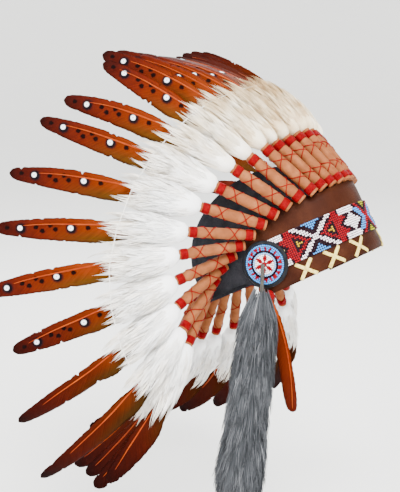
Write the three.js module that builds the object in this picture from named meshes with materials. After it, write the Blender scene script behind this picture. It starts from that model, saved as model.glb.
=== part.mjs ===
// A feathered war-bonnet style headdress: felt cap, suede brow band with a beaded strip, temple
// rosettes, a fur drop and a hackle at the right temple, and a ring of wrapped crown feathers.
// Millimetres, +Z up, the face looks along -Y and the wearer's right is -X. The origin is the
// middle of the head opening, in the plane of the brow band's lower edge.

import * as THREE from 'three';
import { mergeVertices } from 'three/addons/utils/BufferGeometryUtils.js';

// ---- driving dimensions -------------------------------------------------------------------

const HEAD_PITCH = 27.8;            // degrees the crown leans back, as a bonnet sits on the head
const WALL = { x: 80.5, y: 103 };   // half width and half length of the suede band, outside
const BAND_THICKNESS = 2.6;
const BAND_END = 86;                // degrees round the head where the band ends, under a rosette
// Over the brow the wraps stand on the band's top edge, further in; from the sides on they lie
// over it, further out.
const BAND_TOP = { underBrowWraps: 9, climb: 10, climbFrom: 42, climbTo: 56 };
const WRAP_STAND = { brow: -6.5, side: 3.1, from: 24, to: 44 };
const GAP = 0.3;                    // clearance between pieces that are sewn together
const CAP_THICKNESS = 2.6;
const CAP_SHOULDER = 44;            // height where the cap's side turns into its dome
const CAP_TOP = 126;
const CAP_EDGE = { front: 3, back: 22 };        // height of the felt's lower edge
const CAP_EDGE_RISES = { from: 80, to: 100 };   // degrees round the head where the edge climbs

const STRIP = { low: 18, high: 49.9, end: 74, thickness: 1.2 };
const CROSS = { height: 8.7, along: [29.4, 59.7, 90], width: 18.5, tall: 13, lace: 3.2, thickness: 1.2 };
const ROSETTE = { angle: 78.9, height: 29.3, leather: 23.6, beads: 19.6, thickness: 1.9 };

const RING = { x: 84, y: 106.5 };   // half axes of the ring of wrap centres
const WRAP = { length: 55.2, stub: 6.2, radius: 6.1 };
const SPLAY_KEPT = 0.5;             // share of a feather's outward lean that is left at its tip
const FLUFF = { start: 62, root: 134, tips: 148, width: 20, depth: 14 };
const VANE = { width: 12.4, thickness: 1.3, camber: 1.4, wideWeb: 3 };

const FUR = { length: 262, width: 43, depth: 21, lead: 5, drift: 30 };
const HACKLE = { length: 120, forward: 26, ball: 4 };

// One row per crown feather from the middle of the brow round to the nape, the same on both sides.
// angle: degrees round the head; height: of its lower binding; lean: degrees back from upright;
// splay: degrees outward; bend: degrees that it curves after the wrap; length: binding to tip;
// twist: degrees that the vane is turned about its shaft, which lets neighbours overlap like tiles.
const FEATHERS = [
  { angle: 0, height: 80.3, lean: 17, splay: 0, bend: 41, length: 250, twist: 0 },
  { angle: 9.9, height: 80.1, lean: 17.5, splay: 4, bend: 40, length: 248, twist: 13 },
  { angle: 19.6, height: 80, lean: 18, splay: 8, bend: 37, length: 254, twist: 13 },
  { angle: 29, height: 79.8, lean: 18.8, splay: 11.5, bend: 32, length: 256, twist: 13 },
  { angle: 38.1, height: 78.7, lean: 19.3, splay: 14, bend: 28, length: 254, twist: 13 },
  { angle: 46.9, height: 76.7, lean: 21.7, splay: 16.5, bend: 17, length: 236, twist: 13 },
  { angle: 55.4, height: 74.9, lean: 25.4, splay: 20, bend: 30, length: 247, twist: 13 },
  { angle: 63.6, height: 71.5, lean: 33.8, splay: 25, bend: 15, length: 248, twist: 10 },
  { angle: 71.5, height: 67.2, lean: 43.2, splay: 31, bend: 17, length: 253, twist: 10 },
  { angle: 79.3, height: 62, lean: 57.1, splay: 37, bend: 8, length: 249, twist: 10 },
  { angle: 87, height: 56.7, lean: 70.8, splay: 41.5, bend: 8, length: 256, twist: 14 },
  { angle: 95.1, height: 50.7, lean: 90.9, splay: 44, bend: -3, length: 234, twist: 26 },
  { angle: 103.8, height: 44, lean: 113.5, splay: 44.5, bend: -17, length: 252, twist: 48 },
  { angle: 112.8, height: 35.5, lean: 135, splay: 42.5, bend: -35, length: 263, twist: 52 },
  { angle: 121.1, height: 29, lean: 148, splay: 38, bend: -31, length: 218, twist: 36 },
  { angle: 129.2, height: 27, lean: 147, splay: 32, bend: -40, length: 228, twist: 26 },
  { angle: 137.6, height: 27, lean: 142, splay: 26, bend: -42, length: 224, twist: 20 },
  { angle: 146.4, height: 27.4, lean: 136, splay: 20, bend: -42, length: 230, twist: 16 },
  { angle: 155.5, height: 27.8, lean: 131, splay: 13, bend: -40, length: 226, twist: 14 },
  { angle: 164.6, height: 28, lean: 128, splay: 7, bend: -38, length: 230, twist: 14 },
  { angle: 173.6, height: 28.2, lean: 126, splay: 2, bend: -38, length: 228, twist: 14 },
];

// ---- colours --------------------------------------------------------------------------------

const FELT = { color: 0x2c2c30, roughness: 0.95, metalness: 0 };
const SUEDE = { color: 0x5b2c1a, roughness: 0.85, metalness: 0 };
const BEADWORK = { color: 0xb52a30, roughness: 0.35, metalness: 0 };
const LACE = { color: 0xf0e3a8, roughness: 0.7, metalness: 0 };
const DISC_LEATHER = { color: 0x24242a, roughness: 0.7, metalness: 0 };
const ROSETTE_BEADS = { color: 0x9fc3e6, roughness: 0.35, metalness: 0 };
const PLUMAGE = { color: 0xe9ddcc, roughness: 0.9, metalness: 0 };
const FUR_GREY = { color: 0x7d8085, roughness: 0.95, metalness: 0 };
const HACKLE_ORANGE = { color: 0xb5441a, roughness: 0.6, metalness: 0 };

// ---- vectors and lofts ----------------------------------------------------------------------

const rad = THREE.MathUtils.degToRad;
const V = (x, y, z) => new THREE.Vector3(x, y, z);
const ramp = THREE.MathUtils.smoothstep;
const mix = THREE.MathUtils.lerp;
const FRONT = V(0, -1, 0);
const UP = V(0, 0, 1);

// A closed body through rings of points, each ring the same number of points long; both ends are
// closed with a fan about the ring's middle, and the faces are turned to point outward.
function loft(rings) {
  const count = rings[0].length;
  const middle = (ring) => ring.reduce((sum, p) => sum.add(p), V(0, 0, 0)).divideScalar(count);
  const points = [...rings.flat(), middle(rings[0]), middle(rings.at(-1))];
  const last = (rings.length - 1) * count;
  const [startTip, endTip] = [points.length - 2, points.length - 1];
  const faces = [];
  for (let i = 0; i < count; i += 1) {
    const j = (i + 1) % count;
    for (let base = 0; base < last; base += count) {
      faces.push(base + i, base + j, base + count + j);
      faces.push(base + i, base + count + j, base + count + i);
    }
    faces.push(startTip, j, i);
    faces.push(endTip, last + i, last + j);
  }
  return solid(points, faces);
}

// A wall: a grid of points outside and one inside, joined all round their edges.
function wall(outer, inner) {
  const [rows, columns] = [outer.length, outer[0].length];
  const points = [...outer.flat(), ...inner.flat()];
  const at = (side, r, c) => side * rows * columns + r * columns + c;
  const end = columns - 1;
  const faces = [];
  const quad = (a, b, c, d) => faces.push(a, b, c, a, c, d);
  for (let c = 0; c < end; c += 1) {
    for (let r = 0; r < rows - 1; r += 1) {
      quad(at(0, r, c), at(0, r, c + 1), at(0, r + 1, c + 1), at(0, r + 1, c));
      quad(at(1, r, c), at(1, r + 1, c), at(1, r + 1, c + 1), at(1, r, c + 1));
    }
    quad(at(0, 0, c), at(1, 0, c), at(1, 0, c + 1), at(0, 0, c + 1));
    quad(at(0, rows - 1, c), at(0, rows - 1, c + 1), at(1, rows - 1, c + 1), at(1, rows - 1, c));
  }
  for (let r = 0; r < rows - 1; r += 1) {
    quad(at(0, r, 0), at(0, r + 1, 0), at(1, r + 1, 0), at(1, r, 0));
    quad(at(0, r, end), at(1, r, end), at(1, r + 1, end), at(0, r + 1, end));
  }
  return solid(points, faces);
}

function solid(points, faces) {
  let volume = 0;
  for (let i = 0; i < faces.length; i += 3) {
    const [a, b, c] = [points[faces[i]], points[faces[i + 1]], points[faces[i + 2]]];
    volume += a.dot(b.clone().cross(c));
  }
  const turned = volume < 0 ? faces.slice().reverse() : faces;
  const geometry = new THREE.BufferGeometry();
  geometry.setAttribute('position', new THREE.Float32BufferAttribute(points.flatMap((p) => [p.x, p.y, p.z]), 3));
  geometry.setIndex(turned);
  return mergeVertices(geometry, 1e-4);
}

const headdress = new THREE.Group();
const crown = new THREE.Group();
crown.rotation.x = -rad(HEAD_PITCH);
headdress.add(crown);

function addPiece(parent, name, geometry, finish) {
  const mesh = new THREE.Mesh(geometry, new THREE.MeshStandardMaterial({ ...finish, flatShading: true }));
  mesh.name = name;
  parent.add(mesh);
}

// ---- the head's ellipse ---------------------------------------------------------------------
// angle is measured round the head in degrees, 0 at the brow, positive to the wearer's right (-X).

const onHead = (half, angle, height, side = 1) =>
  V(-side * half.x * Math.sin(rad(angle)), -half.y * Math.cos(rad(angle)), height);

function outward(half, angle, side = 1) {
  return V(-side * Math.sin(rad(angle)) / half.x, -Math.cos(rad(angle)) / half.y, 0).normalize();
}

const grown = (half, by) => ({ x: half.x + by, y: half.y + by });

// The angle at a given length along the ellipse from the brow, stepping a quarter of a degree.
function angleAlong(half, length) {
  let [angle, done] = [0, 0];
  const step = 0.25;
  while (done < length && angle < 180) {
    done += onHead(half, angle, 0).distanceTo(onHead(half, angle + step, 0));
    angle += step;
  }
  return angle - (step * (done - length)) / onHead(half, angle, 0).distanceTo(onHead(half, angle + step, 0));
}

// The height of the feathers' lower bindings at an angle, between the rows of the table.
function bindingHeight(angle) {
  const after = FEATHERS.findIndex((row) => row.angle > Math.abs(angle));
  const [low, high] = [FEATHERS[after - 1], FEATHERS[after]];
  return mix(low.height, high.height, (Math.abs(angle) - low.angle) / (high.angle - low.angle));
}

// ---- cap, band, strip -----------------------------------------------------------------------

// The felt cap: an upright wall to the shoulder, then an elliptical dome, closed at the crown.
function crownCap() {
  const columns = 36;
  const domeRows = [0, 22, 42, 60, 76, 86];
  const outside = grown(WALL, -BAND_THICKNESS - GAP);
  const skin = (half, top) => {
    const ring = (heightAt, scale) => Array.from({ length: columns }, (_, c) => {
      const angle = (360 * c) / columns;
      return onHead({ x: half.x * scale, y: half.y * scale }, angle, heightAt(angle));
    });
    const edge = (angle) => {
      const round = Math.abs(angle > 180 ? 360 - angle : angle);
      return mix(CAP_EDGE.front, CAP_EDGE.back, ramp(round, CAP_EDGE_RISES.from, CAP_EDGE_RISES.to));
    };
    return [ring(edge, 1), ...domeRows.map((tilt) =>
      ring(() => CAP_SHOULDER + (top - CAP_SHOULDER) * Math.sin(rad(tilt)), Math.cos(rad(tilt))))];
  };
  const outer = skin(outside, CAP_TOP);
  const inner = skin(grown(outside, -CAP_THICKNESS), CAP_TOP - CAP_THICKNESS);
  return closedCap(outer, inner);
}

// Joins two domes at their lower rims and closes each at its crown with a fan.
function closedCap(outer, inner) {
  const [rows, columns] = [outer.length, outer[0].length];
  const points = [...outer.flat(), ...inner.flat(), V(0, 0, CAP_TOP), V(0, 0, CAP_TOP - CAP_THICKNESS)];
  const at = (side, r, c) => side * rows * columns + r * columns + (c % columns);
  const [outerTop, innerTop] = [points.length - 2, points.length - 1];
  const faces = [];
  const quad = (a, b, c, d) => faces.push(a, b, c, a, c, d);
  for (let c = 0; c < columns; c += 1) {
    for (let r = 0; r < rows - 1; r += 1) {
      quad(at(0, r, c), at(0, r, c + 1), at(0, r + 1, c + 1), at(0, r + 1, c));
      quad(at(1, r, c), at(1, r + 1, c), at(1, r + 1, c + 1), at(1, r, c + 1));
    }
    quad(at(0, 0, c), at(1, 0, c), at(1, 0, c + 1), at(0, 0, c + 1));
    faces.push(at(0, rows - 1, c), at(0, rows - 1, c + 1), outerTop);
    faces.push(at(1, rows - 1, c), innerTop, at(1, rows - 1, c + 1));
  }
  return solid(points, faces);
}

// A strap lying round the head from -end to +end degrees, between two heights.
function strap({ outside, thickness, end, low, high, columns }) {
  const sheet = (half) => [low, high].map((edge) => Array.from({ length: columns + 1 }, (_, c) => {
    const angle = mix(-end, end, c / columns);
    return onHead(half, angle, edge(angle));
  }));
  return wall(sheet(outside), sheet(grown(outside, -thickness)));
}

addPiece(crown, 'crown_cap', crownCap(), FELT);

addPiece(crown, 'brow_band', strap({
  outside: WALL, thickness: BAND_THICKNESS, end: BAND_END, columns: 44,
  low: () => 0,
  high: (angle) => bindingHeight(angle) - BAND_TOP.underBrowWraps
    + BAND_TOP.climb * ramp(Math.abs(angle), BAND_TOP.climbFrom, BAND_TOP.climbTo),
}), SUEDE);

addPiece(crown, 'bead_strip', strap({
  outside: grown(WALL, GAP + STRIP.thickness), thickness: STRIP.thickness, end: STRIP.end, columns: 30,
  low: () => STRIP.low, high: () => STRIP.high,
}), BEADWORK);

// ---- crosses of flat lace -------------------------------------------------------------------

// The outline of a cross of two bars, as twelve points, with the bars running corner to corner.
function crossShape({ width, tall, lace }) {
  const reach = V(width - lace, tall - lace, 0).multiplyScalar(0.5);
  const along = reach.clone().normalize();
  const half = lace / 2;
  const inner = { x: half / along.y, y: half / along.x };
  const shape = new THREE.Shape();
  const corner = (sx, sy) => [
    [sx * (reach.x - along.y * half), sy * (reach.y + along.x * half)],
    [sx * (reach.x + along.y * half), sy * (reach.y - along.x * half)],
  ];
  const points = [
    ...corner(1, 1), [inner.x, 0], ...corner(1, -1).reverse(), [0, -inner.y],
    ...corner(-1, -1), [-inner.x, 0], ...corner(-1, 1).reverse(), [0, inner.y],
  ];
  points.forEach(([x, y], i) => (i ? shape.lineTo(x, y) : shape.moveTo(x, y)));
  shape.closePath();
  return shape;
}

function laceCross(along, side) {
  const angle = angleAlong(WALL, along);
  const geometry = new THREE.ExtrudeGeometry(crossShape(CROSS), { depth: CROSS.thickness, bevelEnabled: false });
  const normal = outward(WALL, angle, side);
  const across = UP.clone().cross(normal);
  geometry.applyMatrix4(new THREE.Matrix4().makeBasis(across, UP, normal));
  const place = onHead(grown(WALL, 0), angle, CROSS.height, side).addScaledVector(normal, GAP);
  geometry.translate(place.x, place.y, place.z);
  return geometry;
}

[['right', 1], ['left', -1]].forEach(([word, side]) => {
  CROSS.along.forEach((along, i) => {
    addPiece(crown, `lace_cross_${word}_${i + 1}`, laceCross(along, side), LACE);
  });
});

// ---- temple rosettes ------------------------------------------------------------------------

// A disc bent over the side of the head: polar rings of points carried onto the ellipse.
function bentDisc(radius, lift, thickness, side) {
  const [rings, spokes] = [2, 24];
  const face = (height) => {
    const half = grown(WALL, height);
    const middle = onHead(half, ROSETTE.angle, ROSETTE.height, side);
    const normal = outward(WALL, ROSETTE.angle, side);
    const along = UP.clone().cross(normal);
    const arc = (WALL.y / WALL.x) * Math.sqrt(WALL.x * WALL.y);
    const point = (r, turn) => {
      const [u, v] = [r * Math.cos(turn), r * Math.sin(turn)];
      return middle.clone().addScaledVector(along, u).addScaledVector(UP, v)
        .addScaledVector(normal, -(u * u) / (2 * arc));
    };
    return {
      centre: point(0, 0),
      rows: Array.from({ length: rings }, (_, i) => Array.from({ length: spokes }, (__, s) =>
        point((radius * (i + 1)) / rings, (2 * Math.PI * s) / spokes))),
    };
  };
  const [top, bottom] = [face(lift + thickness), face(lift)];
  const rows = [...bottom.rows, ...top.rows.slice().reverse()];
  const points = [...rows.flat(), bottom.centre, top.centre];
  const last = (rows.length - 1) * spokes;
  const faces = [];
  for (let s = 0; s < spokes; s += 1) {
    const n = (s + 1) % spokes;
    for (let base = 0; base < last; base += spokes) {
      faces.push(base + s, base + n, base + spokes + n, base + s, base + spokes + n, base + spokes + s);
    }
    faces.push(points.length - 2, n, s, points.length - 1, last + s, last + n);
  }
  return solid(points, faces);
}

const DISC_LIFT = STRIP.thickness + 2 * GAP + 0.6;
const BEADS_LIFT = DISC_LIFT + ROSETTE.thickness + GAP;

[['right', 1], ['left', -1]].forEach(([word, side]) => {
  addPiece(crown, `rosette_disc_${word}`,
    bentDisc(ROSETTE.leather, DISC_LIFT, ROSETTE.thickness, side), DISC_LEATHER);
  addPiece(crown, `rosette_beads_${word}`,
    bentDisc(ROSETTE.beads, BEADS_LIFT, ROSETTE.thickness, side), ROSETTE_BEADS);
});

// ---- crown feathers -------------------------------------------------------------------------

// The spine of feather k on a side: straight through the wrap, then bending at a steady rate.
// Returns the place, heading and face of the feather at any length from its lower binding.
function spine(k, side) {
  const row = FEATHERS[k];
  const normal = outward(RING, row.angle, side);
  const sideways = V(-side, 0, 0);
  const { brow, side: besideBand, from, to } = WRAP_STAND;
  const onBand = row.angle < BAND_END + 4 ? mix(brow, besideBand, ramp(row.angle, from, to)) : 0;
  const heading = (s) => {
    const free = Math.max(0, s - WRAP.length) / (row.length - WRAP.length);
    const lean = rad(row.lean + row.bend * free);
    const splay = rad(row.splay * mix(1, SPLAY_KEPT, free));
    return UP.clone().multiplyScalar(Math.cos(lean)).addScaledVector(FRONT, -Math.sin(lean))
      .multiplyScalar(Math.cos(splay)).addScaledVector(sideways, Math.sin(splay));
  };
  const step = 2;
  const tip = normal.dot(heading(0));
  const heel = Math.max(0, WRAP.stub * tip - WRAP.radius * (1 - Math.sqrt(1 - tip * tip)));
  const places = [onHead(RING, row.angle, row.height, side).addScaledVector(normal, onBand + heel)];
  for (let s = 0; s < row.length + step; s += step) {
    places.push(places.at(-1).clone().addScaledVector(heading(s + step / 2), step));
  }
  const place = (s) => {
    if (s < 0) return places[0].clone().addScaledVector(heading(0), s);
    const i = Math.min(places.length - 2, Math.floor(s / step));
    return places[i].clone().lerp(places[i + 1], s / step - i);
  };
  const frame = (s, tilt) => {
    const along = heading(s);
    const face = normal.clone().addScaledVector(along, -normal.dot(along)).normalize();
    const across = face.clone().cross(along);
    const turn = rad(tilt) * side;
    return {
      along,
      face: face.clone().multiplyScalar(Math.cos(turn)).addScaledVector(across, Math.sin(turn)),
      across: across.multiplyScalar(Math.cos(turn)).addScaledVector(face, -Math.sin(turn)),
    };
  };
  return { place, frame, length: row.length };
}

const SPINES = FEATHERS.map((row, k) => spine(k, 1));

// The half width and half depth that the fluff of feather k may have at a length s, kept to its
// own half of the room between it and the neighbours' spines.
function fluffSize(k, s) {
  const { place, frame } = SPINES[k];
  const here = place(s);
  const { face, across } = frame(s, 0);
  const size = { width: FLUFF.width, depth: FLUFF.depth };
  const mirrored = (p) => V(-p.x, p.y, p.z);
  const neighbours = [k > 0 ? SPINES[k - 1].place : (t) => mirrored(SPINES[1].place(t))];
  if (k < FEATHERS.length - 1) neighbours.push(SPINES[k + 1].place);
  neighbours.forEach((other) => {
    let away = V(1000, 0, 0);
    for (let t = Math.max(0, s - 50); t <= s + 50; t += 2) {
      const offset = other(t).sub(here);
      if (offset.length() < away.length()) away = offset;
    }
    const limit = away.length() / 2 - GAP - 0.1;
    const [beside, before] = [Math.abs(away.dot(across)), Math.abs(away.dot(face))];
    size.width = Math.min(size.width, (limit * away.length()) / Math.max(beside, 1));
    const reach = Math.hypot(size.width * beside, size.depth * before) / away.length();
    if (reach > limit) {
      size.width *= limit / reach;
      size.depth *= limit / reach;
    }
  });
  return size;
}

// Eight points round a section: 0 and 4 lie across the feather, 2 and 6 lie on its face and back.
const SECTION = 8;

function crownFeather(k, side) {
  const { place, frame, length } = spine(k, side);
  const rings = [];
  const ring = (s, tilt, offsets) => {
    const { along, face, across } = frame(s, tilt);
    rings.push(Array.from({ length: SECTION }, (_, i) => {
      const [u, v, slip] = offsets(i, (2 * Math.PI * i) / SECTION);
      return place(s).addScaledVector(across, u).addScaledVector(face, v).addScaledVector(along, slip);
    }));
  };
  const round = (radius) => (i, turn) => [radius * Math.cos(turn), radius * Math.sin(turn), 0];
  ring(-WRAP.stub, 0, round(WRAP.radius));
  ring(WRAP.length + WRAP.stub, 0, round(WRAP.radius));

  // The fluff swells from the wrap in four locks whose tips lie on the vane's root.
  const locks = (s, full, notch, slip) => {
    const { width, depth } = fluffSize(k, s);
    ring(s, 0, (i, turn) => {
      const tuck = full * (i % 2 ? notch : 1);
      return [width * tuck * Math.cos(turn), depth * tuck * Math.sin(turn), i % 2 ? 0 : slip];
    });
  };
  locks(FLUFF.start, 0.7, 1, 0);
  locks(FLUFF.start + 12, 1, 0.96, 0);
  locks(mix(FLUFF.start, FLUFF.tips, 0.5), 1, 0.9, 0);
  locks(FLUFF.root - 4, 0.88, 0.74, 3);
  locks(FLUFF.tips - 4, 0.5, 0.66, 4);

  // The vane: a thin cambered blade with a raised shaft and its wider web towards the nape.
  // It turns about the shaft as it leaves the fluff, and is blunt at the tip.
  const twist = FEATHERS[k].twist;
  const blade = (s, full, turned, web) => {
    const width = VANE.width * full;
    ring(s, twist * turned, (i, turn) => {
      const u = width * Math.cos(turn) * (i % 2 ? 0.8 : 1);
      const bow = -VANE.camber * (u / VANE.width) ** 2;
      const skin = (i % 4 ? VANE.thickness / 2 : 0) * Math.sign(Math.sin(turn)) * (i % 2 ? 0.7 : 1);
      return [u + side * VANE.wideWeb * web, bow + skin, 0];
    });
  };
  const free = length - FLUFF.tips;
  blade(FLUFF.tips + 14, 0.9, 0.7, 0.8);
  blade(FLUFF.tips + 0.4 * free, 1, 1, 1);
  blade(FLUFF.tips + 0.7 * free, 0.82, 1, 0.6);
  blade(FLUFF.tips + 0.92 * free, 0.54, 1, 0.2);
  blade(length, 0.14, 1, 0);
  return loft(rings);
}

addPiece(crown, 'feather_centre', crownFeather(0, 1), PLUMAGE);
[['right', 1], ['left', -1]].forEach(([word, side]) => {
  for (let k = 1; k < FEATHERS.length; k += 1) {
    addPiece(crown, `feather_${word}_${String(k).padStart(2, '0')}`, crownFeather(k, side), PLUMAGE);
  }
});

// ---- drops ----------------------------------------------------------------------------------
// They hang straight down from the right temple's rosette, so they are placed in the upright frame.

crown.updateMatrixWorld(true);

// A point over the right rosette: ahead of its centre, above it, and standing out from the band.
function overRosette(ahead, above, lift) {
  const normal = outward(WALL, ROSETTE.angle);
  return onHead(WALL, ROSETTE.angle, ROSETTE.height)
    .addScaledVector(normal, lift).addScaledVector(UP.clone().cross(normal), ahead)
    .addScaledVector(UP, above).applyMatrix4(crown.matrixWorld);
}

// The fur strip: a flat thong over the beads, then fur that swells and ends in ragged locks.
// t: share of the length down from the knot; w, d: shares of the width and depth; lock: how ragged.
const FUR_ROWS = [
  { t: 0, w: 0.09, d: 0.06, lock: 0 },
  { t: 0.1, w: 0.1, d: 0.07, lock: 0 },
  { t: 0.16, w: 0.6, d: 0.62, lock: 0.08 },
  { t: 0.27, w: 0.88, d: 0.94, lock: 0.1 },
  { t: 0.45, w: 0.97, d: 1, lock: 0.1 },
  { t: 0.65, w: 1.02, d: 1, lock: 0.12 },
  { t: 0.86, w: 1.2, d: 0.96, lock: 0.14 },
  { t: 0.95, w: 0.94, d: 0.74, lock: 0.24 },
  { t: 1, w: 0.44, d: 0.36, lock: 0.4 },
];

function furDrop() {
  const knot = overRosette(0, 1, BEADS_LIFT + ROSETTE.thickness + 3 * GAP);
  const count = 10;
  const slip = 14;
  return loft(FUR_ROWS.map(({ t, w, d, lock }) => Array.from({ length: count }, (_, i) => {
    const turn = (2 * Math.PI * i) / count;
    const ragged = i % 2 ? 1 - lock : 1;
    const depth = (FUR.depth / 2) * d;
    return V(
      knot.x - 0.6 - depth * (1 + ragged * Math.sin(turn)),
      knot.y - FUR.lead * d + FUR.drift * t ** 1.2 + (FUR.width / 2) * w * ragged * Math.cos(turn),
      knot.z - FUR.length * t + (i % 2 ? slip : -slip) * lock,
    );
  })));
}

// The hackle: a thread-wrapped ball for a head, then a narrow blade. One row per section:
// down: millimetres below the top of the ball; w: half width; d: half thickness.
const HACKLE_ROWS = [
  { down: 0, w: 1.4, d: 1.4 },
  { down: 2.2, w: 3.6, d: 3.4 },
  { down: 5, w: HACKLE.ball, d: HACKLE.ball },
  { down: 8, w: 3, d: 2.6 },
  { down: 11, w: 2, d: 1.2 },
  { down: 28, w: 6, d: 0.7 },
  { down: 54, w: 9.2, d: 0.7 },
  { down: 86, w: 8, d: 0.7 },
  { down: 110, w: 4.4, d: 0.6 },
  { down: HACKLE.length, w: 0.9, d: 0.4 },
];

function dropFeather() {
  const head = overRosette(-6, -ROSETTE.leather - 1.2, DISC_LIFT + 3);
  return loft(HACKLE_ROWS.map(({ down, w, d }) => Array.from({ length: SECTION }, (_, i) => {
    const turn = (2 * Math.PI * i) / SECTION;
    return V(
      head.x - d * Math.sin(turn),
      head.y - (HACKLE.forward * down) / HACKLE.length + w * Math.cos(turn),
      head.z - down,
    );
  })));
}

addPiece(headdress, 'fur_drop_right', furDrop(), FUR_GREY);
addPiece(headdress, 'drop_feather_right', dropFeather(), HACKLE_ORANGE);

export default headdress;
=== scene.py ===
# %% [markdown]
# # A feathered headdress
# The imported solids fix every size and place. This lesson dresses them: felt cap, leather brow
# band, seed beads, lacing, wrapped feathers with their fluff, a fur drop and a hackle.
# Everything is worked out in millimetres with numpy and handed to Blender in metres.

# %% Load the frame
import math
import bpy
from mathutils import Matrix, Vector
import numpy as np


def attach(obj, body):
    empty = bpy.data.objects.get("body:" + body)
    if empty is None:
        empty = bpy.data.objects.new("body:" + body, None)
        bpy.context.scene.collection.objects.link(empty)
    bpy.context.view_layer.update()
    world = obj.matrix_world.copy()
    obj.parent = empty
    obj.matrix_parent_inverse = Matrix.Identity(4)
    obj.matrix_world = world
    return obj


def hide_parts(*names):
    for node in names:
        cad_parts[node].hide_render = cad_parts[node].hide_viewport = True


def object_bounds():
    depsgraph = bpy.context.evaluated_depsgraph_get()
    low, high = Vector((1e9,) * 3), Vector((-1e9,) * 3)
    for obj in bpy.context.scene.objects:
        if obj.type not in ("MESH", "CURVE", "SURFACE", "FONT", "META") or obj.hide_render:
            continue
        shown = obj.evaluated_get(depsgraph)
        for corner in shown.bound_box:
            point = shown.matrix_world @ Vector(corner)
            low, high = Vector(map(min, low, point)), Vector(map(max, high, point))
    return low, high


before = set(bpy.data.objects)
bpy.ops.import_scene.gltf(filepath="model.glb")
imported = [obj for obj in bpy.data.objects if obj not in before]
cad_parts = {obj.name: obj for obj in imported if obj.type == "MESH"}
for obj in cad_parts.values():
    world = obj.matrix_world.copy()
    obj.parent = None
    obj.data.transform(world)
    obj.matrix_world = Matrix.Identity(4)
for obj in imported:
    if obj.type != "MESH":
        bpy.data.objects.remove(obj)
cad_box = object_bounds()
MM = 0.001
print("CAD box in mm:", [[round(v / MM) for v in corner] for corner in cad_box])

# %% [markdown]
# ## Camera
# The camera comes first, because the rest is judged through it. It stands to the wearer's right
# and a little in front, looks slightly down, and is far enough away for a calm perspective.

# %% Camera
def facing(back, place):
    """The pose of a camera or a lamp at a place: it looks away from back, and its x is level."""
    right = np.cross([0, 0, 1], back)
    right = right / np.linalg.norm(right)
    pose = np.eye(4)
    pose[:3, :4] = np.column_stack([right, np.cross(back, right), back, place])
    return Matrix(pose.tolist())


CAMERA = dict(distance=1236, azimuth=29.27, elevation=9.49, aim=(0, 114.9, 32.04), lens=82.5)
turn, rise = math.radians(CAMERA["azimuth"]), math.radians(CAMERA["elevation"])
back = np.array([-math.cos(turn) * math.cos(rise), -math.sin(turn) * math.cos(rise), math.sin(rise)])
camera = bpy.data.objects.new("camera", bpy.data.cameras.new("camera"))
bpy.context.scene.collection.objects.link(camera)
camera.data.lens = CAMERA["lens"]
camera.data.sensor_width = 36
spot = (np.array(CAMERA["aim"]) + CAMERA["distance"] * back) * MM
camera.matrix_world = facing(back, spot)
bpy.context.scene.camera = camera
print("camera at", spot.round(3))

# %% [markdown]
# ## Meshes from arrays
# Most pieces are rings of points carried along a line, so one function turns any batch of such
# lofts into closed meshes. Faces are numbered with array arithmetic, never point by point, and
# the signed volume tells whether the shell is inside out.

# %% Mesh helpers
def lofted(rings):
    """Closed shells through rings, given as (shells, rings, points, 3) or one shell without the
    first axis. Each end is closed by a fan about the ring's mean point. Returns points, faces."""
    rings = np.asarray(rings, float)
    rings = rings[None] if rings.ndim == 3 else rings
    shells, count, around, _ = rings.shape
    ends = np.stack([rings[:, 0].mean(1), rings[:, -1].mean(1)], 1)
    points = np.concatenate([rings.reshape(shells, -1, 3), ends], 1)
    i = np.arange(around)
    j = (i + 1) % around
    base = around * np.arange(count - 1)[:, None]
    quads = np.stack([base + i, base + j, base + around + j, base + around + i], -1).reshape(-1, 4)
    last = (count - 1) * around
    start, end = np.full(around, count * around), np.full(around, count * around + 1)
    fans = np.concatenate([np.stack([start, j, i], -1), np.stack([end, last + i, last + j], -1)])
    a, b, c, d = (points[0][quads[:, n]] for n in range(4))
    volume = (np.cross(b - a, c - a) * a).sum() + (np.cross(c - a, d - a) * a).sum()
    if volume < 0:
        quads, fans = quads[:, ::-1], fans[:, ::-1]
    step = points.shape[1] * np.arange(shells)[:, None, None]
    return points.reshape(-1, 3), [(quads + step).reshape(-1, 4), (fans + step).reshape(-1, 3)]


def placed(points, faces, centres, axes):
    """Copies of one small shape: each at its centre, its x, y and z laid along three unit axes."""
    axes = np.stack(axes, -1)
    many = centres[:, None] + np.einsum("pk,nck->npc", points, axes)
    step = len(points) * np.arange(len(centres))[:, None, None]
    return many.reshape(-1, 3), [(f + step).reshape(-1, f.shape[1]) for f in faces]


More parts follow.
